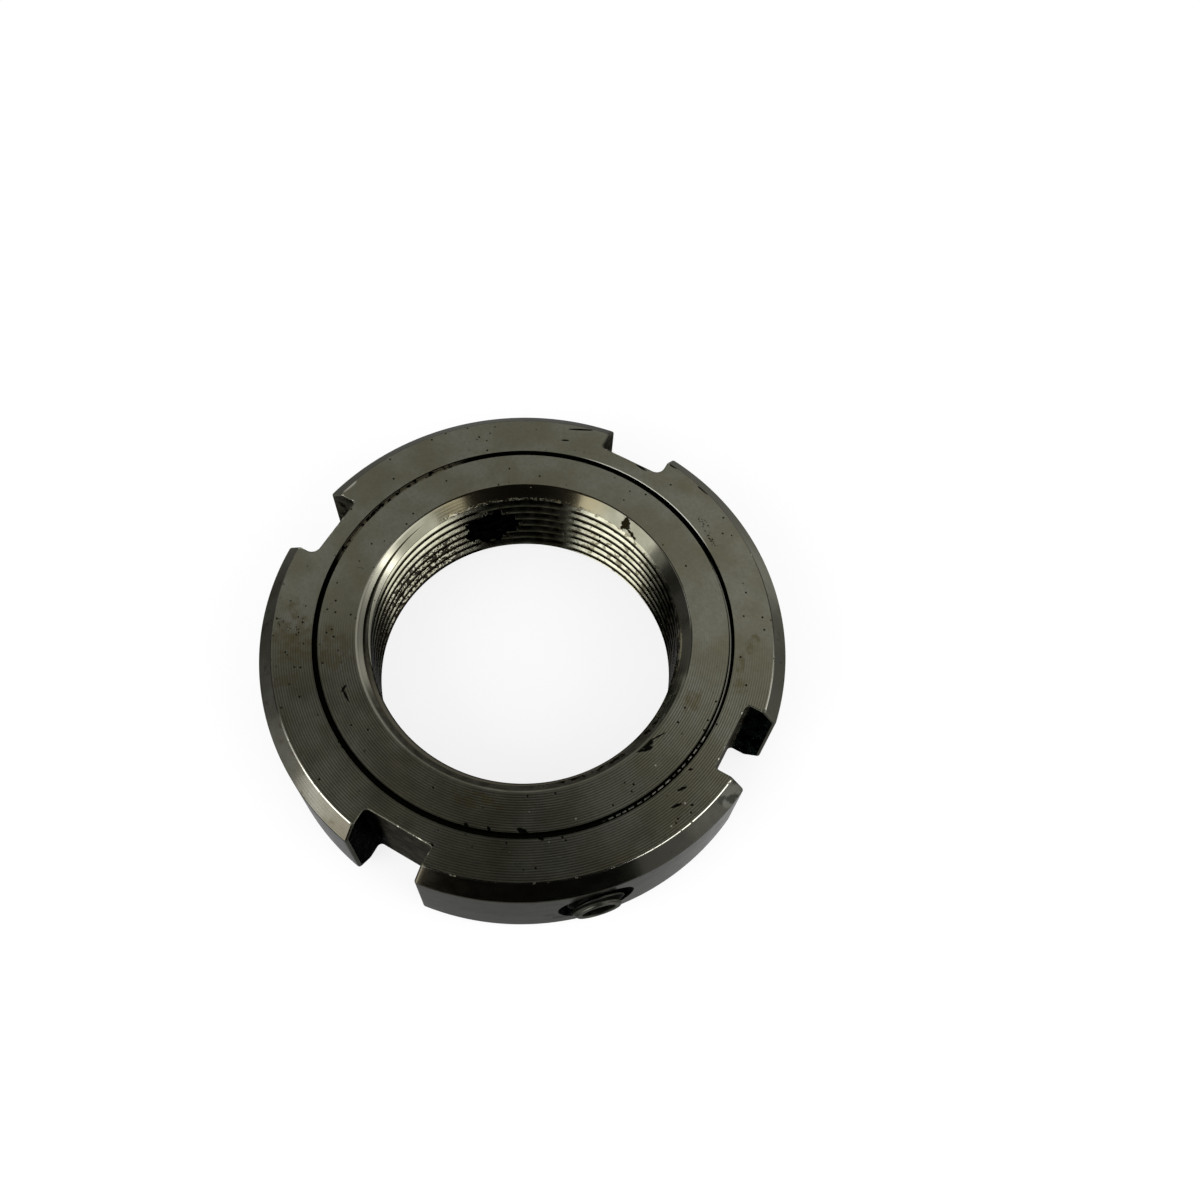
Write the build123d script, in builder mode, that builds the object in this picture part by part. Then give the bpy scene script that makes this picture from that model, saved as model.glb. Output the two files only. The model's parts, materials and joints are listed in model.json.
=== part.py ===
from build123d import *
from math import radians, tan
import os

# A slotted round lock nut with a left-hand bore thread and two radial set screws.
# Millimetres. Origin at the centre of the plain face, +Z up to the grooved face.

# Turned ring
outer_diameter = 57.0
thickness = 13.5
rim_chamfer = 1.5
thread_diameter = 35.0
thread_pitch = 1.5
mouth_chamfer = 1.3

# Groove turned into the upper face
groove_diameter = 44.8
groove_width = 0.6
groove_depth = 0.6

# Slots for a hook spanner
slot_count = 4
slot_width = 7.8
slot_depth = 3.8
slot_corner_radius = 0.6

# Set screws and their tapped holes, midway up the rim
screw_diameter = 6.0
screw_clearance = 0.05
screw_length = 8.0
screw_standout = 0.8
screw_end_chamfer = 0.65
screw_point_chamfer = 1.3
cup_diameter = 2.6
cup_angle = 120.0
socket_across_flats = 3.0
socket_depth = 3.5
socket_floor_angle = 120.0
countersink_diameter = 8.6
countersink_angle = 90.0

# Basic metric profile: how far the minor diameter lies inside the nominal one, in pitches
minor_diameter_drop = 1.0825

outer_radius = outer_diameter / 2
bore_radius = (thread_diameter - minor_diameter_drop * thread_pitch) / 2
screw_hole_radius = screw_diameter / 2
screw_radius = screw_hole_radius - screw_clearance
cup_depth = cup_diameter / 2 / tan(radians(cup_angle / 2))
socket_floor_depth = socket_across_flats / 2 / tan(radians(socket_floor_angle / 2))

# Each screw stands midway between two slots, the rear one across from the front one
slot_spacing = 360 / slot_count
front_azimuth = -slot_spacing / 2
rear_azimuth = front_azimuth + slot_count // 2 * slot_spacing
screw_azimuths = {"set_screw_front": front_azimuth, "set_screw_rear": rear_azimuth}


def radial_plane(azimuth, distance):
    """Plane at mid height, square to the radius at this azimuth and facing outward."""
    outward = Vector(1, 0, 0).rotate(Axis.Z, azimuth)
    centre = outward * distance + Vector(0, 0, thickness / 2)
    return Plane(origin=centre, x_dir=(0, 0, 1), z_dir=outward)


with BuildPart() as nut_body:
    # Turned section: chamfered rim, chamfered thread mouths and the face groove
    with BuildSketch(Plane.XZ) as section:
        with Locations(((bore_radius + outer_radius) / 2, thickness / 2)):
            Rectangle(outer_radius - bore_radius, thickness)
        chamfer(section.vertices().group_by(Axis.X)[-1], rim_chamfer)
        chamfer(section.vertices().group_by(Axis.X)[0], mouth_chamfer)
        with Locations((groove_diameter / 2, thickness)):
            Rectangle(groove_width, 2 * groove_depth, mode=Mode.SUBTRACT)
    revolve(axis=Axis.Z)

    # Flat-bottomed slots through both faces, with rounded inner corners
    with BuildSketch() as slots:
        with PolarLocations(outer_radius, slot_count):
            Rectangle(2 * slot_depth, slot_width)
        fillet(slots.vertices().group_by(SortBy.DISTANCE)[0], slot_corner_radius)
    extrude(amount=thickness, mode=Mode.SUBTRACT)

    # Countersunk tapped holes from the rim into the bore, each as deep as the nut's axis
    with Locations(*[radial_plane(azimuth, outer_radius) for azimuth in screw_azimuths.values()]):
        CounterSinkHole(
            screw_hole_radius,
            countersink_diameter / 2,
            depth=outer_radius,
            counter_sink_angle=countersink_angle,
        )


def set_screw(azimuth):
    """Headless screw along a radius: hexagon socket outside, cup point inside."""
    end_plane = radial_plane(azimuth, outer_radius + screw_standout)
    point_plane = end_plane.offset(-screw_length)
    with BuildPart() as screw:
        with BuildSketch(end_plane):
            Circle(screw_radius)
        extrude(amount=-screw_length)
        rims = screw.edges().filter_by(GeomType.CIRCLE).sort_by(Axis(end_plane.origin, end_plane.z_dir))
        chamfer(rims[-1], screw_end_chamfer)
        chamfer(rims[0], screw_point_chamfer)

        # Hexagon socket with a drilled cone at its floor
        with BuildSketch(end_plane):
            RegularPolygon(socket_across_flats / 2, side_count=6, major_radius=False)
        extrude(amount=-socket_depth, mode=Mode.SUBTRACT)
        with Locations(end_plane.offset(-socket_depth)):
            Cone(
                0,
                socket_across_flats / 2,
                socket_floor_depth,
                align=(Align.CENTER, Align.CENTER, Align.MAX),
                mode=Mode.SUBTRACT,
            )

        # Cup in the point
        with Locations(point_plane):
            Cone(
                cup_diameter / 2,
                0,
                cup_depth,
                align=(Align.CENTER, Align.CENTER, Align.MIN),
                mode=Mode.SUBTRACT,
            )
    return screw.part


nut_body.part.label = "nut_body"

os.makedirs("parts", exist_ok=True)
export_step(nut_body.part, "parts/nut_body.step")
for name, azimuth in screw_azimuths.items():
    part = set_screw(azimuth)
    part.label = name
    export_step(part, f"parts/{name}.step")
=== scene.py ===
from math import atan2, ceil, cos, degrees, floor, hypot, pi, radians, sin, sqrt, tan
import json

import bmesh
import bpy
from mathutils import Matrix, Vector


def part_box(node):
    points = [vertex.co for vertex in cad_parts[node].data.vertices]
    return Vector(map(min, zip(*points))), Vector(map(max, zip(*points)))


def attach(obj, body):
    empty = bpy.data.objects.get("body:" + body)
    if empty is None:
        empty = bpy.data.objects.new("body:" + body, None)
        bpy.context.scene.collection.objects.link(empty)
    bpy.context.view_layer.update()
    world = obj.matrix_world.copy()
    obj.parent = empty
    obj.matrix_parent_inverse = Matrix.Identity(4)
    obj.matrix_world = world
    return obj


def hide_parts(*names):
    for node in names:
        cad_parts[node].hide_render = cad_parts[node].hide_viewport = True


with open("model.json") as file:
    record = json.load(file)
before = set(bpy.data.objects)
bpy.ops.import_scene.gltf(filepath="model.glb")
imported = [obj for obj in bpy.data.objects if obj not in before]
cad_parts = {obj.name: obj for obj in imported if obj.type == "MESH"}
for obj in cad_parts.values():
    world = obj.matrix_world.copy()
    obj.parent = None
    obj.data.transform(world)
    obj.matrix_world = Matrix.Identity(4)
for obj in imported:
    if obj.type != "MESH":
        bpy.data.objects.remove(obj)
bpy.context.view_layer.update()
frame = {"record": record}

# Sizes and meshes are in millimetres, in the frame's axes, until a finished piece is scaled to metres
MM = 0.001

# Turned ring
mounts = {mount["name"]: mount for mount in frame["record"]["mounts"]}
thread_wall = mounts["shaft_thread"]["dims"]
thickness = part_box("nut_body")[1].z / MM
mouth_chamfer = (thickness - thread_wall["length_mm"]) / 2
rim_chamfer = 1.5
turned_edge_radius = 0.22
mouth_edge_radius = 0.4
groove_radius = 22.41
groove_half_width = 0.28
groove_depth = 0.6
groove_draft = 0.05
groove_corner = 0.12
groove_ease = 0.03

# Slots: corner radii are those of the clockwise and the anticlockwise inner corner of each
slot_half_width = 3.9
slot_floor = 24.7
slot_corner_radii = ((0.5, 0.5), (1.0, 0.5), (0.4, 1.0), (0.5, 0.25))
slot_lip_radius = 0.3
wall_edge_radius = 0.15
# The slots open the rim at X and Y, so the solid's box ends at their corners
outer_radius = hypot(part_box("nut_body")[1].x / MM, slot_half_width)

# Bore thread: left-hand, and one of its crests crosses this azimuth at this depth below the upper face
crest_radius = thread_wall["r_mm"]
root_radius = 17.42
thread_pitch = 1.5
crest_azimuth = 121.4
crest_depth = 1.06

# Every thread's flats as shares of its pitch, and the share of its depth that eases the inner flat
inner_flat = 1 / 4
outer_flat = 1 / 8
thread_ease = 0.06

# Width of the lathe's feed marks, a little coarser than the real 0.2 so that they stay visible
turning_feed = 0.26

# Set screws and their tapped holes, across from each other
screw_low, screw_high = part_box("set_screw_front")
front_azimuth = degrees(atan2(screw_low.y + screw_high.y, screw_low.x + screw_high.x))
screw_pitch = 1.0
screw_crest_radius = 2.93
screw_root_radius = 2.38
hole_crest_radius = 2.46
hole_root_radius = 3.0
screw_standout = 0.8
screw_length = 8.0
screw_end_radius = 2.3
screw_point_radius = 1.65
socket_half_flats = 1.5
socket_sides = 6
socket_corner = socket_half_flats / cos(pi / socket_sides)
socket_depth = 3.5
socket_floor_drop = 0.8
socket_lead = 0.12
cup_radius = 1.3
cup_depth = 0.75
countersink_radius = 4.3

# Where the middle of an inner flat lies along the radius, for each screw and its hole
screw_flat_start = outer_radius + screw_standout - 1.4 * screw_pitch

# Mesh steps
LAND_STEPS = 110
LIP_STEPS = 5
WALL_STEPS = 5
CORNER_STEPS = 7
FLOOR_STEPS = 4
EDGE_STEPS = 4
BORE_SEGMENTS = 360
HOLE_SEGMENTS = 96
CREASE_ANGLE = 32

# Azimuths from a slot's middle, in degrees, where the mesh rows of its lip, its wall and its corner start
LIP_SPOKE = 12
WALL_SPOKE = 11.4
CORNER_SPOKE = 9.6


# Mesh building

def spread(start, end, steps):
    """Evenly spaced values from start to end, both included."""
    return [start + (end - start) * i / steps for i in range(steps + 1)]


def polar(radius, azimuth, height=0.0):
    """Point at a radius, an azimuth in degrees and a height."""
    return (radius * cos(radians(azimuth)), radius * sin(radians(azimuth)), height)


def add_object(name, data):
    """Object of this data in the scene."""
    added = bpy.data.objects.new(name, data)
    bpy.context.scene.collection.objects.link(added)
    return added


def new_piece(name, points, faces, materials):
    """Mesh object with its faces turned outward."""
    mesh = bpy.data.meshes.new(name)
    mesh.from_pydata(points, [], faces)
    for material in materials:
        mesh.materials.append(material)
    shape = bmesh.new()
    shape.from_mesh(mesh)
    bmesh.ops.recalc_face_normals(shape, faces=shape.faces)
    shape.to_mesh(mesh)
    shape.free()
    return add_object(name, mesh)


def lathe(name, profile, segments, material):
    """Closed solid from a profile of (radius, z) that starts and ends on the axis."""
    rings = profile[1:-1]
    points = [(0, 0, profile[0][1]), (0, 0, profile[-1][1])]
    for radius, z in rings:
        for angle in spread(0, 2 * pi, segments)[:-1]:
            points.append((radius * cos(angle), radius * sin(angle), z))
    faces = []
    for i in range(segments):
        j = (i + 1) % segments
        faces.append((0, 2 + j, 2 + i))
        last = 2 + (len(rings) - 1) * segments
        faces.append((1, last + i, last + j))
        for k in range(len(rings) - 1):
            row = 2 + k * segments
            faces.append((row + i, row + j, row + segments + j, row + segments + i))
    return new_piece(name, points, faces, [material])


def threaded_rod(name, form, pitch, hand, bottom, top, start, segments, material):
    """Closed rod with a helical thread. The form is a list of (radius, height) over one pitch.

    The hand is +1 for a right-hand thread and -1 for a left-hand one, and start is the height of the
    form's zero at azimuth 0."""
    per_turn = len(form)
    first = floor((bottom - start) / pitch) - 1
    turns = ceil((top - bottom) / pitch) + 2
    column = [(r, start + (first + k) * pitch + z) for k in range(turns) for r, z in form]
    rows = len(column)
    points = []
    for i in range(segments):
        angle = 2 * pi * i / segments
        rise = hand * pitch * i / segments
        points += [(r * cos(angle), r * sin(angle), z + rise) for r, z in column]
    faces = []
    for i in range(segments):
        seam = hand * per_turn if i == segments - 1 else 0
        here, there = i * rows, (i + 1) % segments * rows
        for j in range(rows - 1):
            if 0 <= j + seam and j + seam + 1 < rows:
                faces.append((here + j, there + j + seam, there + j + seam + 1, here + j + 1))
    rod = new_piece(name, points, faces, [material])
    shape = bmesh.new()
    shape.from_mesh(rod.data)
    low_cap = shape.verts.new((0, 0, bottom - pitch))
    high_cap = shape.verts.new((0, 0, top + pitch))
    for edge in [edge for edge in shape.edges if edge.is_boundary]:
        cap = low_cap if edge.verts[0].co.z < (bottom + top) / 2 else high_cap
        shape.faces.new((*edge.verts, cap))
    bmesh.ops.recalc_face_normals(shape, faces=shape.faces)
    shape.to_mesh(rod.data)
    shape.free()
    return rod


def thread_form(inner, outer, pitch):
    """One pitch of a thread, from the middle of its inner flat, with the inner flat's edges eased."""
    ease = thread_ease * (outer - inner)
    low = pitch * inner_flat / 2
    high = pitch * (1 - outer_flat) / 2
    half = [(inner, low - ease / 2), (inner + ease, low + ease), (outer, high)]
    return half + [(r, pitch - z) for r, z in reversed(half)]


def apply_modifiers(piece):
    """Keeps the mesh that a piece's modifiers make, and drops them."""
    graph = bpy.context.evaluated_depsgraph_get()
    old = piece.data
    piece.data = bpy.data.meshes.new_from_object(piece.evaluated_get(graph))
    piece.modifiers.clear()
    bpy.data.meshes.remove(old)


def combine(piece, other, operation):
    """Cuts, joins or intersects a piece with another, which is used up."""
    modifier = piece.modifiers.new(operation.lower(), "BOOLEAN")
    modifier.operation = operation
    modifier.solver = "MANIFOLD"
    modifier.material_mode = "TRANSFER"
    modifier.object = other
    apply_modifiers(piece)
    bpy.data.objects.remove(other)


def radial(azimuth):
    """Turns local +Z outward along the radius at this azimuth, at mid height."""
    turn = Vector(polar(1, azimuth)).to_track_quat("Z", "Y").to_matrix().to_4x4()
    return Matrix.Translation((0, 0, thickness / 2)) @ turn


def place(piece, matrix):
    """Moves a piece's mesh, so that its object stays at the origin."""
    piece.data.transform(matrix)
    return piece


def finish_mesh(piece):
    """Shades a piece smooth but for its creases and flats, and scales it to metres."""
    piece.data.shade_smooth()
    piece.data.set_sharp_from_angle(angle=radians(CREASE_ANGLE))
    modifier = piece.modifiers.new("flats", "WEIGHTED_NORMAL")
    modifier.keep_sharp = True
    apply_modifiers(piece)
    piece.data.transform(Matrix.Scale(MM, 4))


# Nut body

FACE, RIM, SLOT, EDGE, GROOVE, EDGE_HIGHLIGHTS = range(6)


def arc(centre, radius, start, end, steps):
    """Points round a centre from one angle to another, in radians."""
    return [(centre[0] + radius * cos(a), centre[1] + radius * sin(a)) for a in spread(start, end, steps)]


def straight(start, end, steps):
    """Points strictly between two points."""
    shares = spread(0, 1, steps)[1:-1]
    return [tuple(a + (b - a) * share for a, b in zip(start, end)) for share in shares]


def half_slot(rim, inset, corner_radius, side):
    """Half of a slot about +X, from the rim round to its floor: points with the spoke that each lies on.

    A spoke is the azimuth, in degrees, where the point's row meets the rings of the face."""
    half_width = slot_half_width + inset
    floor_x = slot_floor - inset
    corner = corner_radius + inset
    lip_y = half_width + slot_lip_radius
    lip_x = sqrt((rim - slot_lip_radius) ** 2 - lip_y ** 2)
    lip = arc((lip_x, lip_y), slot_lip_radius, atan2(lip_y, lip_x), -pi / 2, LIP_STEPS)
    bend = arc((floor_x + corner, half_width - corner), corner, pi / 2, pi, CORNER_STEPS)
    wall = straight(lip[-1], bend[0], WALL_STEPS)
    flat = straight(bend[-1], (floor_x, 0), FLOOR_STEPS)
    bend_spoke = degrees(atan2(bend[-1][1], floor_x))
    spokes = spread(LIP_SPOKE, WALL_SPOKE, LIP_STEPS) + spread(WALL_SPOKE, CORNER_SPOKE, WALL_STEPS)[1:-1]
    spokes += spread(CORNER_SPOKE, bend_spoke, CORNER_STEPS)
    spokes += [degrees(atan2(y, x)) for x, y in flat]
    return [(x, side * y, side * spoke) for (x, y), spoke in zip(lip + wall + bend + flat, spokes)]


def slotted_outline(rim, inset):
    """Closed outline of the rim, its slot walls set back into the metal by inset, as (x, y, spoke)."""
    outline = []
    spacing = 360 / len(slot_corner_radii)
    for index, (clockwise, anticlockwise) in enumerate(slot_corner_radii):
        first = half_slot(rim, inset, clockwise, -1)
        second = half_slot(rim, inset, anticlockwise, 1)
        slot = first + [(slot_floor - inset, 0, 0)] + second[::-1]
        land_edge = degrees(atan2(second[0][1], second[0][0]))
        land_spoke = second[0][2]
        angles = spread(land_edge, spacing - land_edge, LAND_STEPS)[1:-1]
        spokes = spread(land_spoke, spacing - land_spoke, LAND_STEPS)[1:-1]
        slot += [(*polar(rim, angle)[:2], spoke) for angle, spoke in zip(angles, spokes)]
        turn = radians(index * spacing)
        for x, y, spoke in slot:
            outline.append((
                x * cos(turn) - y * sin(turn),
                x * sin(turn) + y * cos(turn),
                spoke + index * spacing,
            ))
    return outline


def interpolate(curve, depth):
    """Value of a curve of (value, depth) points at a depth, straight between the points."""
    for (low, start), (high, end) in zip(curve, curve[1:]):
        if depth <= end:
            return low + (high - low) * (depth - start) / (end - start)
    return curve[-1][0]


def rim_levels():
    """The rim's section from the face down to mid height: (depth, rim radius, slot wall inset)."""
    radius = turned_edge_radius
    tangent = radius * tan(pi / 8)
    upper_centre = (outer_radius - rim_chamfer - tangent, radius)
    lower_centre = (outer_radius - radius, rim_chamfer + tangent)
    upper = arc(upper_centre, radius, -pi / 2, -pi / 4, EDGE_STEPS)
    lower = arc(lower_centre, radius, -pi / 4, 0, EDGE_STEPS)
    rim = upper + lower
    wall = arc((wall_edge_radius, wall_edge_radius), wall_edge_radius, -pi / 2, -pi, EDGE_STEPS)
    wall_levels = {2 * rim_chamfer, thickness / 2}
    depths = sorted({round(depth, 6) for reach, depth in rim + wall} | wall_levels)
    return [(depth, interpolate(rim, depth), interpolate(wall, depth)) for depth in depths]


def groove_section():
    """Rings of the face groove from its outer edge to its inner one, as (radius, depth)."""
    half = groove_half_width
    side = [
        (half + groove_ease, 0),
        (half + groove_ease / 3, groove_ease / 3),
        (half, groove_ease),
        (half - groove_draft, groove_depth - groove_corner),
        (half - groove_corner, groove_depth - groove_ease),
    ]
    outer = [(groove_radius + x, depth) for x, depth in side]
    inner = [(groove_radius - x, depth) for x, depth in reversed(side)]
    return outer + [(groove_radius, groove_depth)] + inner


def blank_material(position, depth, slot_faces):
    """Which material a face of the blank's side has, by its place along the outline and its depth."""
    if position >= slot_faces:
        return EDGE_HIGHLIGHTS if depth < turned_edge_radius * (1 - cos(pi / 4)) else RIM
    if depth < wall_edge_radius:
        return EDGE
    in_lip = position < LIP_STEPS or position >= slot_faces - LIP_STEPS
    return RIM if in_lip else SLOT


def nut_blank(materials):
    """Grooved and slotted ring with an undersized plain bore."""
    upper = [(thickness - depth, slotted_outline(radius, inset)) for depth, radius, inset in rim_levels()]
    side = upper + [(thickness - z, outline) for z, outline in reversed(upper[:-1])]
    heights = [z for z, outline in side]
    spokes = [spoke for x, y, spoke in side[0][1]]
    rows = [[(x, y, z) for x, y, spoke in outline] for z, outline in side]
    side_rows = len(rows)

    join_radius = slot_floor - 0.5
    blank_bore = crest_radius - 0.6
    groove = [(radius, thickness - depth) for radius, depth in reversed(groove_section())]
    rings = [(join_radius, 0), (blank_bore, 0), (blank_bore, thickness), *groove, (join_radius, thickness)]
    for radius, z in rings:
        rows.append([polar(radius, spoke, z) for spoke in spokes])
    first_groove_row = side_rows + 3
    last_groove_row = first_groove_row + len(groove) - 1

    columns = len(spokes)
    per_slot = columns // len(slot_corner_radii)
    slot_faces = 2 * (LIP_STEPS + WALL_STEPS + CORNER_STEPS + FLOOR_STEPS)
    faces = []
    indices = []
    for i in range(len(rows)):
        below = (i + 1) % len(rows)
        for j in range(columns):
            k = (j + 1) % columns
            faces.append((i * columns + j, i * columns + k, below * columns + k, below * columns + j))
            if i < side_rows - 1:
                height = (heights[i] + heights[i + 1]) / 2
                indices.append(blank_material(j % per_slot, min(height, thickness - height), slot_faces))
            else:
                indices.append(GROOVE if first_groove_row <= i < last_groove_row else FACE)
    blank = new_piece("nut", [point for row in rows for point in row], faces, materials)
    blank.data.polygons.foreach_set("material_index", indices)
    return blank


def bore_cutter(material):
    """Threaded rod that leaves the nut's left-hand thread."""
    form = thread_form(crest_radius, root_radius, thread_pitch)
    start = thickness - crest_depth + thread_pitch * crest_azimuth / 360
    over = 2
    return threaded_rod(
        "bore", form, thread_pitch, -1, -over, thickness + over, start, BORE_SEGMENTS, material
    )


def mouth_cutter(material, flip):
    """Cone that chamfers one mouth of the bore and eases its edge at the face."""
    mouth = crest_radius + mouth_chamfer
    tangent = mouth_edge_radius * tan(pi / 8)
    easing = arc((mouth + tangent, -mouth_edge_radius), mouth_edge_radius, 3 * pi / 4, pi / 2, EDGE_STEPS)
    over = 1
    profile = [(0, -mouth), *easing, (mouth + tangent, over), (0, over)]
    cutter = lathe("mouth", profile, BORE_SEGMENTS, material)
    if flip:
        return place(cutter, Matrix.Rotation(pi, 4, "X"))
    return place(cutter, Matrix.Translation((0, 0, thickness)))


def hole_cutter(azimuth, material):
    """Threaded rod that taps a radial hole from the rim into the bore."""
    form = thread_form(hole_crest_radius, hole_root_radius, screw_pitch)
    over = 3
    rod = threaded_rod(
        "hole", form, screw_pitch, 1, crest_radius - over, outer_radius + over, screw_flat_start,
        HOLE_SEGMENTS, material,
    )
    return place(rod, radial(azimuth))


def countersink_cutter(azimuth, material):
    """Right-angled cone at the rim end of a radial hole."""
    apex = outer_radius - countersink_radius
    over = 2
    profile = [(0, apex), (countersink_radius + over, outer_radius + over), (0, outer_radius + over)]
    return place(lathe("countersink", profile, HOLE_SEGMENTS, material), radial(azimuth))


def set_screw(name, azimuth, material):
    """Threaded screw with a hexagon socket at the rim and a cup point inside."""
    top = outer_radius + screw_standout
    bottom = top - screw_length
    over = 1
    above, below = top + over, bottom - over
    form = thread_form(screw_root_radius, screw_crest_radius, screw_pitch)
    screw = threaded_rod(
        name, form, screw_pitch, 1, below, above, screw_flat_start, HOLE_SEGMENTS, material
    )
    past_crest = screw_crest_radius + 0.3
    profile = [
        (0, bottom),
        (screw_point_radius, bottom),
        (past_crest, bottom + past_crest - screw_point_radius),
        (past_crest, top - past_crest + screw_end_radius),
        (screw_end_radius, top),
        (0, top),
    ]
    combine(screw, lathe("turned", profile, HOLE_SEGMENTS, material), "INTERSECT")
    socket = [
        (0, top - socket_depth - socket_floor_drop),
        (socket_corner, top - socket_depth),
        (socket_corner, above),
        (0, above),
    ]
    combine(screw, lathe("socket", socket, socket_sides, material), "DIFFERENCE")
    lead_reach = socket_corner + socket_lead
    lead = [(0, top - lead_reach), (lead_reach + over, above), (0, above)]
    combine(screw, lathe("lead", lead, HOLE_SEGMENTS, material), "DIFFERENCE")
    cup = [(0, bottom + cup_depth), (cup_radius, bottom), (cup_radius, below), (0, below)]
    combine(screw, lathe("cup", cup, HOLE_SEGMENTS, material), "DIFFERENCE")
    return place(screw, radial(azimuth))


# Materials

def new_material(name):
    """Material with its node tree and its shader."""
    material = bpy.data.materials.new(name)
    material.use_nodes = True
    return material, material.node_tree, material.node_tree.nodes["Principled BSDF"]


class Metal:
    """Node tree of one metal, with short calls for what the metals share. Its colour is laid coat by coat.

    Masks go from 0 to 1. Lengths in calls are millimetres, and azimuths are degrees."""

    def __init__(self, name, roughness, anisotropy=0.0, edge_tint=0.45):
        self.material, self.tree, self.shader = new_material(name)
        self.shader.inputs["Metallic"].default_value = 1
        self.shader.inputs["Specular Tint"].default_value = (edge_tint, edge_tint, edge_tint, 1)
        self.shader.inputs["Roughness"].default_value = roughness
        self.shader.inputs["Anisotropic"].default_value = anisotropy
        self.shader.inputs["Anisotropic Rotation"].default_value = 0.25
        if anisotropy:
            self.put(self.shader.inputs["Tangent"], self.node("ShaderNodeTangent", {}, axis="Z"))
        metres = self.node("ShaderNodeTexCoord", {}, output="Object")
        self.point = self.vector("SCALE", metres, Scale=1 / MM)
        self.height = self.split(self.point)["Z"]
        self.flat = self.vector("MULTIPLY", self.point, (1, 1, 0))
        self.radius = self.measure("LENGTH", self.flat)

    def put(self, socket, value):
        """Sets a socket, or links it where the value is another node's output."""
        if isinstance(value, bpy.types.NodeSocket):
            self.tree.links.new(value, socket)
        else:
            socket.default_value = value

    def node(self, kind, inputs, output=0, **settings):
        made = self.tree.nodes.new(kind)
        for key, value in settings.items():
            setattr(made, key, value)
        for key, value in inputs.items():
            self.put(made.inputs[key], value)
        return made.outputs[output]

    def math(self, operation, first, second=0.0, third=0.0):
        return self.node("ShaderNodeMath", {0: first, 1: second, 2: third}, operation=operation)

    def vector(self, operation, first, second=(0, 0, 0), **inputs):
        return self.node("ShaderNodeVectorMath", {0: first, 1: second, **inputs}, operation=operation)

    def measure(self, operation, first, second=(0, 0, 0)):
        """A length or a dot product."""
        return self.node("ShaderNodeVectorMath", {0: first, 1: second}, output="Value", operation=operation)

    def split(self, vector):
        """A vector's X, Y and Z by name."""
        return self.node("ShaderNodeSeparateXYZ", {"Vector": vector}).node.outputs

    def step(self, value, low, high):
        """0 at low and 1 at high, with a smooth passage. Low may be the greater of the two."""
        if low > high:
            return self.inverse(self.step(value, high, low))
        return self.node("ShaderNodeMapRange", {0: value, 1: low, 2: high}, interpolation_type="SMOOTHSTEP")

    def inverse(self, mask):
        return self.math("SUBTRACT", 1.0, mask)

    def times(self, *values):
        product = values[0]
        for value in values[1:]:
            product = self.math("MULTIPLY", product, value)
        return product

    def most(self, *values):
        largest = values[0]
        for value in values[1:]:
            largest = self.math("MAXIMUM", largest, value)
        return largest

    def blend(self, share, first, second):
        """Between two plain values."""
        return self.node("ShaderNodeMapRange", {0: share, 3: first, 4: second})

    def mix(self, share, first, second):
        """Between two colours."""
        made = self.node("ShaderNodeMix", {"Factor": share}, data_type="RGBA", clamp_factor=True).node
        for socket, value in ((6, first), (7, second)):
            self.put(made.inputs[socket], (*value, 1) if isinstance(value, tuple) else value)
        return made.outputs[2]

    def noise(self, scale, detail, seed=0.0, stretch=(1, 1, 1)):
        """Noise of about this many waves to a millimetre."""
        spot = self.vector("MULTIPLY_ADD", self.point, stretch)
        self.put(spot.node.inputs[2], (seed, 2 * seed, -seed))
        return self.node("ShaderNodeTexNoise", {"Vector": spot, "Scale": scale, "Detail": detail})

    def cloud(self, scale, detail, low, high, seed=0.0, stretch=(1, 1, 1)):
        """Noise with more contrast: 0 where it is under low and 1 where it is over high."""
        return self.step(self.noise(scale, detail, seed, stretch), low, high)

    def specks(self, scale, share, size, seed=0.0):
        """Scattered dots: scale cells to a millimetre, a share of which hold a dot of this size in cells."""
        spot = self.vector("ADD", self.point, (seed, seed, seed))
        cells = self.node("ShaderNodeTexVoronoi", {"Vector": spot, "Scale": scale}).node.outputs
        chance = self.node("ShaderNodeSeparateColor", {"Color": cells["Color"]})
        dot = self.step(cells["Distance"], size, size / 2)
        return self.times(dot, self.math("LESS_THAN", chance, share))

    def around(self, azimuth, half_width, soft):
        """1 within half_width degrees of an azimuth, and soft degrees more down to 0."""
        likeness = self.measure("DOT_PRODUCT", self.vector("NORMALIZE", self.flat), polar(1, azimuth))
        return self.step(likeness, cos(radians(half_width + soft)), cos(radians(half_width)))

    def ellipsoid(self, centre, sizes, turn, ragged, grain):
        """1 inside an ellipsoid of these half sizes, turned about Z, with a ragged edge."""
        local = self.node(
            "ShaderNodeMapping",
            {"Vector": self.point, "Location": centre, "Rotation": (0, 0, radians(turn)), "Scale": sizes},
            vector_type="TEXTURE",
        )
        rags = self.math("SUBTRACT", self.noise(grain, 4), 0.5)
        reach = self.math("MULTIPLY_ADD", rags, ragged, self.measure("LENGTH", local))
        return self.step(reach, 1.1, 0.8)

    def patch(self, spot, sizes, ragged, grain, turn=None):
        """Ellipsoid at a (radius, azimuth, height), its half sizes outward, across and up unless turned."""
        return self.ellipsoid(polar(*spot), sizes, spot[1] if turn is None else turn, ragged, grain)

    def base(self, share, first, second):
        """Starts the colour between two."""
        self.colour = self.mix(share, first, second)

    def coat(self, colour, *cover):
        """Lays a colour over the metal's own, as far as the product of these covers it."""
        self.colour = self.mix(self.times(*cover), self.colour, colour)

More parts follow.
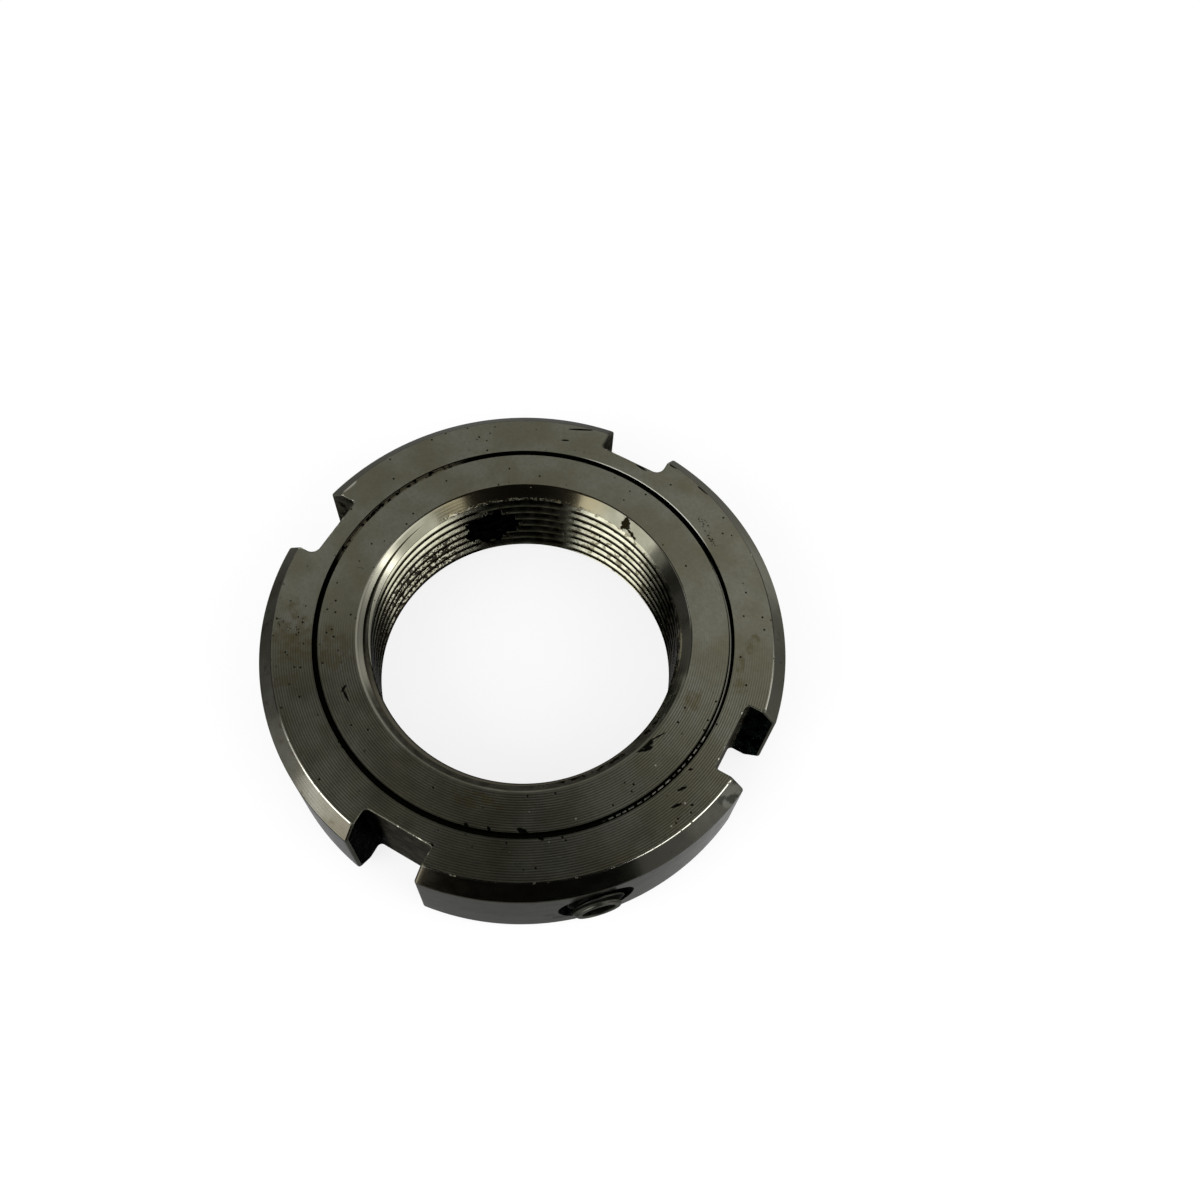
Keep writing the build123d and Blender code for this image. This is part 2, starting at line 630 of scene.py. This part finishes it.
    def finish(self, roughness, *forms):
        """Links the colour, the roughness and the relief, which adds up forms of a mask and its height."""
        relief = 0.0
        for mask, height in forms:
            relief = self.math("MULTIPLY_ADD", mask, height, relief)
        self.put(self.shader.inputs["Base Color"], self.colour)
        self.put(self.shader.inputs["Roughness"], roughness)
        normal = self.node("ShaderNodeBump", {"Height": relief, "Strength": 1.0, "Distance": MM})
        self.put(self.shader.inputs["Normal"], normal)
        return self.material


def turning_marks(metal, coordinate):
    """The fine ridges that the lathe's feed leaves across a turned surface, from -1 to 1."""
    uneven = metal.node(
        "ShaderNodeTexNoise", {"W": coordinate, "Scale": 0.7, "Detail": 1.0}, noise_dimensions="1D"
    )
    strength = metal.blend(metal.step(uneven, 0.3, 0.6), 0.6, 1.0)
    return metal.times(metal.math("SINE", metal.times(coordinate, 2 * pi / turning_feed)), strength)


# Marks on the upper face, as they lie on the nut, with places as (radius, azimuth)
# Scratches: both ends and half the width
face_scratches = (
    ((18.1, -15.8), (18.8, -9.8), 0.1),
    ((18.1, -18.6), (18.45, -14.8), 0.28),
    ((18.5, -18.6), (18.75, -16.0), 0.22),
    ((18.05, -20.6), (18.35, -18.6), 0.2),
    ((20.2, -130.3), (20.0, -125.2), 0.12),
    ((19.8, -130.6), (20.3, -129.2), 0.15),
    ((23.8, -19.3), (24.05, -17.5), 0.17),
    ((24.65, -23.4), (24.95, -21.2), 0.16),
    ((23.1, -13.6), (23.3, -13.0), 0.13),
    ((25.7, -19.5), (25.8, -19.1), 0.12),
    ((26.3, 108.6), (26.9, 102.4), 0.13),
    ((24.6, 109.9), (24.7, 108.2), 0.12),
    ((26.8, 71.6), (26.92, 68.3), 0.12),
    ((24.5, 88.0), (24.45, 85.0), 0.15),
    ((26.8, 80.8), (26.9, 79.0), 0.13),
    ((21.95, -75.2), (22.15, -74.4), 0.2),
    ((21.85, -69.2), (22.1, -68.6), 0.18),
    ((21.8, -61.2), (22.1, -59.4), 0.27),
    ((22.6, -56.2), (22.85, -55.4), 0.22),
    ((24.85, -81.4), (24.85, -80.7), 0.14),
)
# Spots: place, and half sizes outward and across
face_stains = (
    ((25.0, -156.3), (0.5, 1.3)),
    ((20.8, -148.7), (0.5, 0.7)),
    ((20.3, -142.0), (1.7, 2.4)),
    ((25.8, -136.7), (1.5, 0.7)),
    ((24.6, -147.0), (2.2, 3.0)),
    ((19.4, -75.0), (0.8, 3.0)),
    ((23.9, 13.2), (0.8, 0.9)),
    ((23.5, 19.5), (0.5, 1.4)),
    ((24.7, 25.0), (0.9, 1.2)),
    ((19.6, 4.0), (0.9, 1.6)),
)
face_soot = (
    ((24.1, 62.5), (0.4, 0.9)),
    ((23.6, 57.5), (0.35, 1.2)),
    ((26.2, -151.8), (0.5, 0.5)),
    ((25.0, -149.8), (0.9, 0.3)),
    ((24.2, -148.6), (0.4, 0.4)),
    ((19.6, -172.0), (0.5, 0.4)),
)
# Painted glint on the face's corner beside a slot: place, and half sizes outward and across
corner_glints = (((26.9, 168.6), (0.22, 1.1)),)


def scratch(metal, start, end, half_width):
    """Ragged line on the upper face."""
    first, last = (Vector(polar(*spot, thickness)) for spot in (start, end))
    along = last - first
    sizes = (along.length / 2 + half_width, half_width, 1)
    return metal.ellipsoid((first + last) / 2, sizes, degrees(atan2(along.y, along.x)), 0.8, 3.0)


def face_spots(metal, spots, ragged, grain):
    """Ragged spots of one kind on the upper face."""
    return metal.most(*(
        metal.patch((*spot, thickness), (*sizes, 2), ragged, grain) for spot, sizes in spots
    ))


def face_scars(metal):
    """Scratches, soot and black dots of the upper face."""
    soot = metal.times(face_spots(metal, face_soot, 1.4, 1.2), metal.cloud(4.5, 3, 0.55, 0.62, seed=13))
    rust_dots = metal.times(metal.specks(1.3, 0.6, 0.2, seed=9), metal.around(-146, 9, 5))
    dots = metal.most(metal.specks(1.1, 0.2, 0.18), metal.specks(0.9, 0.15, 0.15, seed=5))
    return metal.most(dots, rust_dots, soot, *(scratch(metal, *mark) for mark in face_scratches))


def face_material():
    """Turned steel: tarnished, with painted shade towards the camera's place, stains, scars, flecks and a
    painted glint.
    """
    metal = Metal("turned_face", 0.3, 0.6)
    ridges = turning_marks(metal, metal.radius)
    crisp = metal.blend(metal.around(-66, 64, 32), 0.08, 1.0)
    clouds = metal.cloud(0.2, 6, 0.36, 0.64)
    tarnish = metal.cloud(0.45, 5, 0.45, 0.75, seed=17)
    mottle = metal.cloud(2.5, 6, 0.3, 0.7, seed=7)
    metal.base(clouds, (0.137, 0.133, 0.094), (0.172, 0.171, 0.137))
    metal.coat((0.13, 0.12, 0.066), tarnish, 0.35)
    metal.coat((0.1, 0.094, 0.064), mottle, 0.28)
    metal.coat((0.025, 0.024, 0.016), metal.step(ridges, 0.5, -0.7), crisp, 0.6)
    # Painted shade: the face is darker towards the camera's place
    camera_side_shade = metal.around(-94, 34, 26)
    metal.coat((0.03, 0.029, 0.02), camera_side_shade, metal.blend(clouds, 0.4, 0.3))
    stains = face_spots(metal, face_stains, 1.8, 0.8)
    metal.coat((0.075, 0.06, 0.026), stains, metal.cloud(1.3, 8, 0.32, 0.68, seed=18), 0.6)
    scars = face_scars(metal)
    metal.coat((0.004, 0.004, 0.003), scars)
    flecks = metal.times(metal.specks(0.7, 0.3, 0.09, seed=21), metal.around(-50, 30, 20))
    # Painted glint on the corner beside a slot, laid in bright together with the flecks
    wear_and_glint = face_spots(metal, corner_glints, 1.0, 1.6)
    metal.coat((0.4, 0.39, 0.33), metal.most(flecks, wear_and_glint))
    groove_edge = groove_radius + groove_half_width
    lit_lip = metal.times(
        metal.step(metal.radius, groove_edge, groove_edge + 0.02),
        metal.step(metal.radius, groove_edge + 0.15, groove_edge + 0.1),
        metal.around(79, 14, 12),
    )
    metal.coat((0.85, 0.84, 0.74), lit_lip)
    roughness = metal.blend(metal.noise(0.5, 4, seed=2), 0.24, 0.38)
    return metal.finish(roughness, (metal.times(ridges, crisp), 0.004), (scars, -0.01))


def rim_material():
    """Turned steel: the chamfer is filmed over towards the camera, partly as painted shade, has painted
    light and painted shade by turns round it, and is worn beside a slot.
    """
    metal = Metal("turned_rim", 0.16, 0.3)
    chamfer = metal.step(metal.height, thickness - rim_chamfer - 0.2, thickness - rim_chamfer + 0.2)
    # Towards the camera's place the chamfer is filmed over, brownish and darker, partly as painted shade
    film_and_shade = metal.around(-66, 26, 22)
    # Painted light on two sides of the chamfer
    pale = metal.most(metal.around(160, 18, 24), metal.around(62, 12, 18))
    # Painted shade on the chamfer's right side
    right_side_shade = metal.around(-12, 34, 16)
    metal.base(metal.cloud(0.25, 5, 0.35, 0.65), (0.092, 0.089, 0.071), (0.118, 0.116, 0.097))
    metal.coat((0.05, 0.043, 0.028), metal.cloud(0.9, 5, 0.55, 0.7, seed=4), 0.55)
    metal.coat((0.042, 0.036, 0.024), film_and_shade, chamfer, 0.85)
    metal.coat((0.22, 0.216, 0.175), pale, chamfer, 0.75)
    metal.coat((0.05, 0.05, 0.041), right_side_shade, chamfer, 0.8)
    wear = metal.patch((27.8, -10.5, thickness - 0.7), (1.2, 2.2, 1.2), 1.2, 0.8)
    worn = metal.cloud(0.8, 4, 0.42, 0.56, seed=19)
    metal.coat((0.105, 0.105, 0.09), wear, worn)
    metal.coat((0.03, 0.03, 0.026), wear, metal.inverse(worn), 0.7)
    smudge = metal.patch((outer_radius, -54.8, 5.5), (0.8, 0.9, 0.6), 1.0, 1.5)
    metal.coat((0.03, 0.022, 0.014), smudge, 0.7)
    chip = metal.patch((outer_radius, -52.2, 4.3), (0.8, 1.2, 0.75), 1.2, 1.5)
    dots = metal.most(metal.specks(0.8, 0.2, 0.13, seed=3), chip)
    metal.coat((0.006, 0.005, 0.004), dots)
    roughness = metal.blend(metal.noise(0.8, 4, seed=2), 0.1, 0.24)
    return metal.finish(roughness, (turning_marks(metal, metal.height), 0.0006), (dots, -0.01))


def slot_material():
    """Milled steel: grey floors, and walls nearly black, oily and in painted shade, two of them with painted
    light.
    """
    metal = Metal("milled_slot", 0.5, edge_tint=0.28)
    sides = metal.split(metal.vector("ABSOLUTE", metal.point))
    wall = metal.step(metal.most(sides["X"], sides["Y"]), slot_floor + 0.02, slot_floor + 0.5)
    grain = metal.cloud(0.9, 6, 0.35, 0.65, seed=1)
    # The walls' colour: nearly black, oily, and painted shade as well
    metal.base(grain, (0.0005, 0.0006, 0.0005), (0.009, 0.013, 0.011))
    metal.coat((0.024, 0.03, 0.027), metal.cloud(1.2, 6, 0.52, 0.68, seed=8), 0.6)
    # Painted light on the walls of two slots
    lit_walls = metal.most(metal.around(171, 5, 3), metal.around(99, 5, 3))
    metal.coat((0.075, 0.072, 0.056), lit_walls, metal.blend(grain, 0.3, 1.0))
    floor_colour = metal.mix(grain, (0.053, 0.049, 0.038), (0.08, 0.076, 0.062))
    metal.coat(floor_colour, metal.inverse(wall))
    shaded = metal.around(-100, 3.4, 2)
    metal.coat((0.0004, 0.0005, 0.0004), shaded, 0.92)
    return metal.finish(metal.blend(grain, 0.42, 0.55), (metal.noise(2.2, 4, seed=6), 0.05))


def edge_material():
    """Broken edges of the slots: dull, with bright burrs."""
    metal = Metal("worn_edge", 0.3)
    burr = metal.cloud(1.6, 5, 0.55, 0.66, seed=11)
    metal.base(burr, (0.07, 0.068, 0.052), (0.3, 0.295, 0.245))
    return metal.finish(metal.blend(burr, 0.45, 0.25), (metal.noise(3, 3, seed=2), 0.04))


def edge_highlights_material():
    """Turned edge between the face and the rim's chamfer, with painted highlights and painted glints in
    places.
    """
    metal = Metal("burnished_edge", 0.14)
    nick = metal.cloud(2.2, 4, 0.62, 0.72, seed=12)
    glint = metal.cloud(1.4, 5, 0.69, 0.77, seed=20)
    # Painted highlights on the edge at two azimuths, and painted glints scattered along it
    wear_and_glint = metal.most(metal.around(-9, 25, 14), metal.around(-107, 15, 9), glint)
    metal.base(wear_and_glint, (0.085, 0.083, 0.066), (0.42, 0.41, 0.35))
    metal.coat((0.08, 0.075, 0.055), nick)
    return metal.finish(metal.blend(nick, 0.14, 0.4), (nick, -0.01))


def groove_material():
    """Black and oily, brighter along its middle in places, with dust on its outer half in one."""
    metal = Metal("groove", 0.35)
    off_middle = metal.math("ABSOLUTE", metal.math("SUBTRACT", metal.radius, groove_radius - 0.05))
    middle = metal.step(off_middle, 0.09, 0.04)
    sides = metal.split(metal.flat)
    turn = metal.math("ARCTAN2", sides["Y"], sides["X"])
    drift = metal.times(metal.noise(0.45, 2, seed=5), 12.0)
    dashes = metal.step(metal.math("SINE", metal.math("MULTIPLY_ADD", turn, 160.0, drift)), -0.6, -0.1)
    fading = metal.blend(metal.cloud(0.5, 2, 0.4, 0.55, seed=24), 0.25, 1.0)
    brighter_middle = metal.times(middle, metal.most(
        metal.times(metal.around(24, 22, 7), 0.6),
        metal.times(metal.around(-20, 15, 5), dashes, fading),
    ))
    outer_half = metal.step(metal.radius, groove_radius - 0.12, groove_radius)
    below_edge = metal.step(metal.height, thickness - 0.12, thickness - 0.24)
    rags = metal.cloud(1.1, 6, 0.41, 0.49, seed=15)
    dust = metal.times(metal.around(163, 18, 8), outer_half, below_edge, rags)
    metal.base(dust, (0.003, 0.003, 0.002), (0.21, 0.19, 0.13))
    metal.coat((0.36, 0.35, 0.29), brighter_middle)
    return metal.finish(metal.blend(brighter_middle, 0.6, 0.25), (metal.noise(4, 3), 0.02))


# How much of the light the thread's clean metal mirrors at a grazing angle
thread_edge_tint = 0.3


def thread_dirt_and_shade(metal):
    """Lays grease, a smeared painted shade and dots over the thread, and returns where they leave it dull.
    """
    low = metal.times(metal.step(metal.height, -1, 1), metal.step(metal.height, 8.8, 6))
    clots = metal.most(
        metal.cloud(1.5, 6, 0.52, 0.58, seed=3, stretch=(1, 1, 3)),
        metal.cloud(3.6, 5, 0.54, 0.6, seed=10, stretch=(1, 1, 3)),
    )
    grease = metal.times(metal.around(178, 23, 16), low, metal.blend(clots, 0.35, 1.0))
    metal.coat((0.012, 0.009, 0.006), grease, 0.95)
    # Painted shade on two sides of the thread, smeared, with golden flecks in it and less edge tint under it
    shade = metal.most(
        metal.times(metal.around(18, 31, 12), 0.92), metal.times(metal.around(-150, 10, 14), 0.5)
    )
    smears = metal.cloud(0.8, 5, 0.35, 0.6, seed=8, stretch=(1, 1, 4))
    smeared_shade = metal.times(shade, metal.blend(smears, 0.6, 1.0))
    flecks = metal.cloud(1.5, 6, 0.55, 0.63, seed=27, stretch=(1, 1, 2))
    metal.coat(metal.mix(flecks, (0.003, 0.003, 0.002), (0.045, 0.04, 0.024)), smeared_shade)
    tint = metal.mix(smeared_shade, (thread_edge_tint,) * 3, (0.1, 0.098, 0.08))
    metal.put(metal.shader.inputs["Specular Tint"], tint)
    dots = metal.specks(0.9, 0.25, 0.13, seed=2)
    metal.coat((0.006, 0.004, 0.002), dots)
    ring = metal.step(metal.patch((crest_radius + 0.4, 134.5, 6.5), (2.6, 3.5, 3.7), 1.3, 0.8), 0.35, 0.6)
    metal.coat((0.0006, 0.0005, 0.0005), ring)
    return metal.most(metal.times(grease, clots), dots, ring)


def thread_material():
    """Bright flanks, crests and roots in painted shade, and painted shade on the wall opposite the camera's
    place.
    """
    metal = Metal("bore_thread", 0.18, edge_tint=thread_edge_tint)
    far_wall = metal.around(120, 14, 7)
    root = metal.step(metal.radius, root_radius - 0.34, root_radius - 0.16)
    crest = metal.step(metal.radius, crest_radius + 0.18, crest_radius + 0.07)
    streaks = metal.cloud(0.7, 5, 0.5, 0.72, seed=14, stretch=(1, 1, 5))
    metal.base(metal.cloud(0.5, 4, 0.35, 0.65), (0.19, 0.187, 0.14), (0.24, 0.236, 0.182))
    metal.coat((0.09, 0.082, 0.05), streaks, 0.5)
    # Painted shade in the roots
    metal.coat((0.01, 0.009, 0.005), root)
    # Painted shade on the wall opposite the camera's place, weaker on its crests
    patchy_shade = metal.blend(metal.cloud(0.9, 5, 0.3, 0.65, seed=6), 0.75, 1.0)
    metal.coat((0.005, 0.004, 0.0015), far_wall, patchy_shade, metal.inverse(metal.times(crest, 0.2)))
    metal.coat((0.04, 0.037, 0.026), metal.around(-62, 74, 20), 0.85)
    smuts = metal.cloud(1.3, 6, 0.54, 0.62, seed=23, stretch=(1, 1, 2))
    metal.coat((0.03, 0.024, 0.012), smuts, metal.around(68, 26, 16), 0.75)
    # Painted shade on the crests, but for those of the far wall
    metal.coat((0.008, 0.007, 0.004), crest, metal.inverse(far_wall))
    dull = thread_dirt_and_shade(metal)
    return metal.finish(metal.blend(dull, 0.18, 0.5), (metal.noise(2, 3, seed=4), 0.004), (dull, 0.03))


def mouth_edge(metal, reach, solid, rags, sector):
    """Rags along the mouth's inner edge, whole out to solid beyond the crest's radius and gone at reach."""
    return metal.times(metal.step(metal.radius, crest_radius + reach, crest_radius + solid), rags, sector)


def mouth_dirt(metal):
    """A blot with its tail, specks, and rags of dirt along the inner edge."""
    blot = metal.patch((17.4, 78.9, thickness - 0.6), (0.58, 0.5, 1.5), 2.4, 3.0, turn=78.6)
    tail = metal.patch((17.05, 75.0, thickness - 1), (0.12, 1.0, 1.5), 2.6, 3.2, turn=66)
    rags = metal.cloud(1.5, 5, 0.52, 0.56, seed=5)
    debris = mouth_edge(metal, 1.1, 0.7, rags, metal.around(-28, 22, 14))
    return metal.most(blot, tail, debris, metal.specks(0.9, 0.15, 0.1, seed=4))


def mouth_material():
    """Turned cone of a mouth and its rounded lip, in tones, painted light and painted shade that change
    round it, its inner edge burred.
    """
    metal = Metal("bore_mouth", 0.16, 0.3)
    lip_radius = crest_radius + mouth_chamfer
    cone = metal.step(metal.radius, lip_radius - 0.1, lip_radius - 0.25)
    near_side = metal.around(-88, 72, 22)
    worn = metal.cloud(0.9, 5, 0.35, 0.65, seed=22)
    metal.base(metal.cloud(0.4, 4, 0.35, 0.65), (0.082, 0.081, 0.06), (0.105, 0.104, 0.08))
    metal.coat((0.1, 0.085, 0.048), metal.around(122, 26, 12), 0.7)
    metal.coat(metal.mix(worn, (0.064, 0.062, 0.046), (0.11, 0.107, 0.083)), near_side, cone)
    # Painted light on one side of the cone
    metal.coat((0.4, 0.39, 0.31), metal.around(-155, 20, 12), 0.9)
    # Painted shade where the cone mirrors a lamp
    metal.coat((0.032, 0.031, 0.024), metal.around(21, 7, 4), 0.9)
    # Painted light beside it
    metal.coat((0.19, 0.186, 0.15), metal.around(39, 2, 5))
    # Painted highlight on the lip at one side
    metal.coat((0.2, 0.195, 0.155), metal.inverse(cone), metal.around(-150, 30, 24), 0.7)
    side_rags = metal.cloud(2.2, 4, 0.42, 0.5, seed=26)
    side_burr = mouth_edge(metal, 0.5, 0.35, side_rags, metal.around(28, 9, 7))
    metal.coat((0.16, 0.15, 0.1), side_burr, 0.8)
    far_rags = metal.cloud(2.6, 4, 0.5, 0.56, seed=16)
    far_burr = mouth_edge(metal, 0.3, 0.1, far_rags, metal.around(121, 24, 12))
    metal.coat((0.3, 0.29, 0.23), far_burr, 0.6)
    dirt = mouth_dirt(metal)
    metal.coat((0.006, 0.005, 0.002), dirt)
    roughness = metal.blend(metal.most(dirt, metal.times(near_side, 0.5)), 0.15, 0.5)
    ridges = turning_marks(metal, metal.radius)
    return metal.finish(roughness, (ridges, 0.0006), (far_burr, 0.05), (dirt, 0.03))


def hole_material():
    """Tapped holes and their countersinks, black and oily."""
    metal = Metal("tapped_hole", 0.6)
    grain = metal.cloud(1.5, 5, 0.4, 0.7)
    metal.base(grain, (0.0006, 0.0006, 0.0007), (0.007, 0.007, 0.007))
    return metal.finish(metal.blend(grain, 0.6, 0.45), (grain, 0.03))


def screw_material():
    """Blackened steel, worn bright on the thread's crests and on the turned end."""
    metal = Metal("set_screw", 0.35)
    outward = polar(1, front_azimuth)
    along = metal.measure("DOT_PRODUCT", metal.point, outward)
    level = metal.vector("SUBTRACT", metal.point, (0, 0, thickness / 2))
    distance = metal.measure("DISTANCE", level, metal.vector("SCALE", outward, Scale=along))
    end = outer_radius + screw_standout
    near_end = metal.step(metal.math("ABSOLUTE", along), end - 0.4, end - 0.3)
    past_socket = metal.step(distance, socket_corner - 0.01, socket_corner + 0.07)
    crest = metal.step(distance, screw_crest_radius - 0.1, screw_crest_radius - 0.02)
    patchy = metal.blend(metal.cloud(0.7, 3, 0.35, 0.6), 0.7, 1.0)
    wear_and_glint = metal.times(
        metal.most(metal.times(crest, 0.7), metal.times(near_end, past_socket)), patchy
    )
    grain = metal.noise(2.0, 5, seed=2)
    metal.base(grain, (0.002, 0.002, 0.002), (0.012, 0.012, 0.01))
    metal.coat((0.11, 0.108, 0.09), wear_and_glint)
    return metal.finish(metal.blend(wear_and_glint, 0.5, 0.3), (grain, 0.006))


nut_materials = [
    face_material(), rim_material(), slot_material(),
    edge_material(), groove_material(), edge_highlights_material(),
]
thread_steel = thread_material()
mouth_steel = mouth_material()
hole_steel = hole_material()
screw_steel = screw_material()

# Pieces

nut = nut_blank(nut_materials)
combine(nut, bore_cutter(thread_steel), "DIFFERENCE")
combine(nut, mouth_cutter(mouth_steel, False), "DIFFERENCE")
combine(nut, mouth_cutter(mouth_steel, True), "DIFFERENCE")

screws = {}
for node, azimuth in (("set_screw_front", front_azimuth), ("set_screw_rear", front_azimuth + 180)):
    combine(nut, hole_cutter(azimuth, hole_steel), "DIFFERENCE")
    combine(nut, countersink_cutter(azimuth, hole_steel), "DIFFERENCE")
    screws[node] = set_screw(node + "_detailed", azimuth, screw_steel)

finish_mesh(nut)
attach(nut, "root")
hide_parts("nut_body")
for node, screw in screws.items():
    finish_mesh(screw)
    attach(screw, "root")
    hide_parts(node)

# Camera, in millimetres and degrees: where it stands, what it aims at, and how it is rolled
camera_distance = 126.19
camera_azimuth = -58.63
camera_elevation = 65.49
camera_roll = 4.01
camera_aim = (-1.51, 16.04)
camera_lens = 34.86
camera_shift = (0.0133, -0.0751)


def direction(azimuth, elevation):
    """Unit vector from the nut towards an azimuth and elevation in degrees."""
    a, e = radians(azimuth), radians(elevation)
    return Vector((cos(a) * cos(e), sin(a) * cos(e), sin(e)))


def add_camera():
    data = bpy.data.cameras.new("camera")
    data.sensor_width = 36
    data.lens = camera_lens
    data.shift_x, data.shift_y = camera_shift
    data.clip_start = 0.005
    camera = add_object("camera", data)
    top = Vector((0, 0, thickness))
    stand = top + direction(camera_azimuth, camera_elevation) * camera_distance
    look = (top + Vector((*camera_aim, 0)) - stand).normalized()
    roll = Matrix.Rotation(radians(camera_roll), 3, "Z").to_quaternion()
    camera.location = stand * MM
    camera.rotation_mode = "QUATERNION"
    camera.rotation_quaternion = look.to_track_quat("-Z", "Y") @ roll
    bpy.context.scene.camera = camera


add_camera()

# Studio: sizes in millimetres, and azimuths in degrees anticlockwise from the camera's own

# Lamps: azimuth, elevation, distance, width, height and power
lamps = {
    "left_softbox": (-56, 30, 420, 322, 437, 1.6),
    "right_softbox": (61, 34, 420, 372, 340, 1.15),
}
# Cloths: azimuth, widths at the lower and upper end, distance, elevations of both ends, and shade
flags = {
    "camera_flag": (0, (362, 205), 280, (1, 80), 0.025),
    "fade_flag": (41, (76, 76), 272, (5, 33), 0.8),
    "zenith_flag": (-24, (250, 250), 285, (78, 106), 0.02),
    "ceiling_flag": (-146, (125, 125), 290, (61, 88), 0.12),
    "back_flag": (-178, (200, 200), 295, (46, 58), 0.5),
    "left_flag": (-104, (100, 100), 200, (0.3, 48), 0.12),
    "right_flag": (112, (90, 90), 200, (0.3, 42), 0.2),
}
FLAG_STEPS = 24


def add_lamp(name, azimuth, elevation, distance, width, height, power):
    data = bpy.data.lights.new(name, "AREA")
    data.shape = "RECTANGLE"
    data.size = width * MM
    data.size_y = height * MM
    data.energy = power
    lamp = add_object(name, data)
    away = direction(camera_azimuth + azimuth, elevation)
    lamp.location = away * distance * MM
    lamp.rotation_mode = "QUATERNION"
    lamp.rotation_quaternion = away.to_track_quat("Z", "Y")


def seen_directly(tree):
    """1 for rays from the camera, off a gloss or through glass, and 0 for the rest."""
    rays = tree.nodes.new("ShaderNodeLightPath").outputs
    total = rays["Is Camera Ray"]
    for kind in ("Is Glossy Ray", "Is Transmission Ray"):
        either = tree.nodes.new("ShaderNodeMath")
        either.operation = "MAXIMUM"
        tree.links.new(total, either.inputs[0])
        tree.links.new(rays[kind], either.inputs[1])
        total = either.outputs[0]
    return total


def add_world(diffuse_strength):
    """White surroundings, a little weaker for the rays that light dull surfaces."""
    world = bpy.data.worlds.new("studio")
    bpy.context.scene.world = world
    world.use_nodes = True
    tree = world.node_tree
    strength = tree.nodes.new("ShaderNodeMapRange")
    tree.links.new(seen_directly(tree), strength.inputs["Value"])
    strength.inputs["To Min"].default_value = diffuse_strength
    tree.nodes["Background"].inputs["Color"].default_value = (1, 1, 1, 1)
    tree.links.new(strength.outputs[0], tree.nodes["Background"].inputs["Strength"])


def add_floor(size, glow):
    """Pale floor that looks white where it is lit, and keeps the nut's shadow."""
    mesh = bpy.data.meshes.new("floor")
    half = size / 2 * MM
    corners = [(-half, -half, 0), (half, -half, 0), (half, half, 0), (-half, half, 0)]
    mesh.from_pydata(corners, [], [(0, 1, 2, 3)])
    material, tree, shader = new_material("floor")
    shader.inputs["Base Color"].default_value = (0.85, 0.85, 0.85, 1)
    shader.inputs["Roughness"].default_value = 0.9
    shader.inputs["Specular IOR Level"].default_value = 0
    white = tree.nodes.new("ShaderNodeEmission")
    share = tree.nodes.new("ShaderNodeMath")
    share.operation = "MULTIPLY"
    share.inputs[1].default_value = glow
    tree.links.new(seen_directly(tree), share.inputs[0])
    both = tree.nodes.new("ShaderNodeMixShader")
    tree.links.new(share.outputs[0], both.inputs[0])
    tree.links.new(shader.outputs[0], both.inputs[1])
    tree.links.new(white.outputs[0], both.inputs[2])
    tree.links.new(both.outputs[0], tree.nodes["Material Output"].inputs["Surface"])
    mesh.materials.append(material)
    add_object("floor", mesh)


def hang(name, points, faces, shade):
    """Puts up a cloth that only gloss sees, and gives its node tree and shader."""
    mesh = bpy.data.meshes.new(name)
    mesh.from_pydata([point * MM for point in points], [], faces)
    material, tree, shader = new_material(name)
    shader.inputs["Base Color"].default_value = (0, 0, 0, 1)
    shader.inputs["Specular IOR Level"].default_value = 0
    shader.inputs["Emission Color"].default_value = (1, 1, 1, 1)
    shader.inputs["Emission Strength"].default_value = shade
    mesh.materials.append(material)
    cloth = add_object(name, mesh)
    cloth.visible_camera = False
    cloth.visible_shadow = False
    cloth.visible_diffuse = False
    return tree, shader


def add_flag(name, azimuth, widths, radius, elevations, shade):
    """Cloth that curves up over the nut on one side."""
    outward = direction(camera_azimuth + azimuth, 0)
    across = Vector((-outward.y, outward.x, 0)) / 2
    low, high = map(radians, elevations)
    points = []
    for elevation, width in zip(spread(low, high, FLAG_STEPS), spread(*widths, FLAG_STEPS)):
        middle = (outward * cos(elevation) + Vector((0, 0, sin(elevation)))) * radius
        points += [middle - across * width, middle + across * width]
    faces = [(2 * i, 2 * i + 1, 2 * i + 3, 2 * i + 2) for i in range(FLAG_STEPS)]
    hang(name, points, faces, shade)


def add_shadow_sheet(name, azimuth, width, reach, shades, fade):
    """Grey cloth just over the floor, a painted shadow of the nut where gloss sees the floor, between the
    two distances of its reach towards an azimuth.

    Its shade goes from one value to the other between the two distances of its fade."""
    outward = direction(camera_azimuth + azimuth, 0)
    across = Vector((-outward.y, outward.x, 0)) * width / 2
    start, end = (outward * distance + Vector((0, 0, 0.1)) for distance in reach)
    corners = [start - across, start + across, end + across, end - across]
    tree, shader = hang(name, corners, [(0, 1, 2, 3)], shades[0])
    spot = tree.nodes.new("ShaderNodeTexCoord")
    along = tree.nodes.new("ShaderNodeVectorMath")
    along.operation = "DOT_PRODUCT"
    along.inputs[1].default_value = outward
    slope = tree.nodes.new("ShaderNodeMapRange")
    slope.inputs["From Min"].default_value = fade[0] * MM
    slope.inputs["From Max"].default_value = fade[1] * MM
    slope.inputs["To Min"].default_value = shades[0]
    slope.inputs["To Max"].default_value = shades[1]
    tree.links.new(spot.outputs["Object"], along.inputs[0])
    tree.links.new(along.outputs["Value"], slope.inputs["Value"])
    tree.links.new(slope.outputs[0], shader.inputs["Emission Strength"])


for name, setting in lamps.items():
    add_lamp(name, *setting)
add_world(diffuse_strength=0.8)
add_floor(size=3000, glow=0.8)
for name, setting in flags.items():
    add_flag(name, *setting)
# Painted shadow of the nut on the floor, seen only in gloss
add_shadow_sheet("floor_mat", azimuth=90, width=240, reach=(-150, 52), shades=(0.34, 0.62), fade=(-60, 52))

bpy.context.scene.view_settings.view_transform = "Standard"
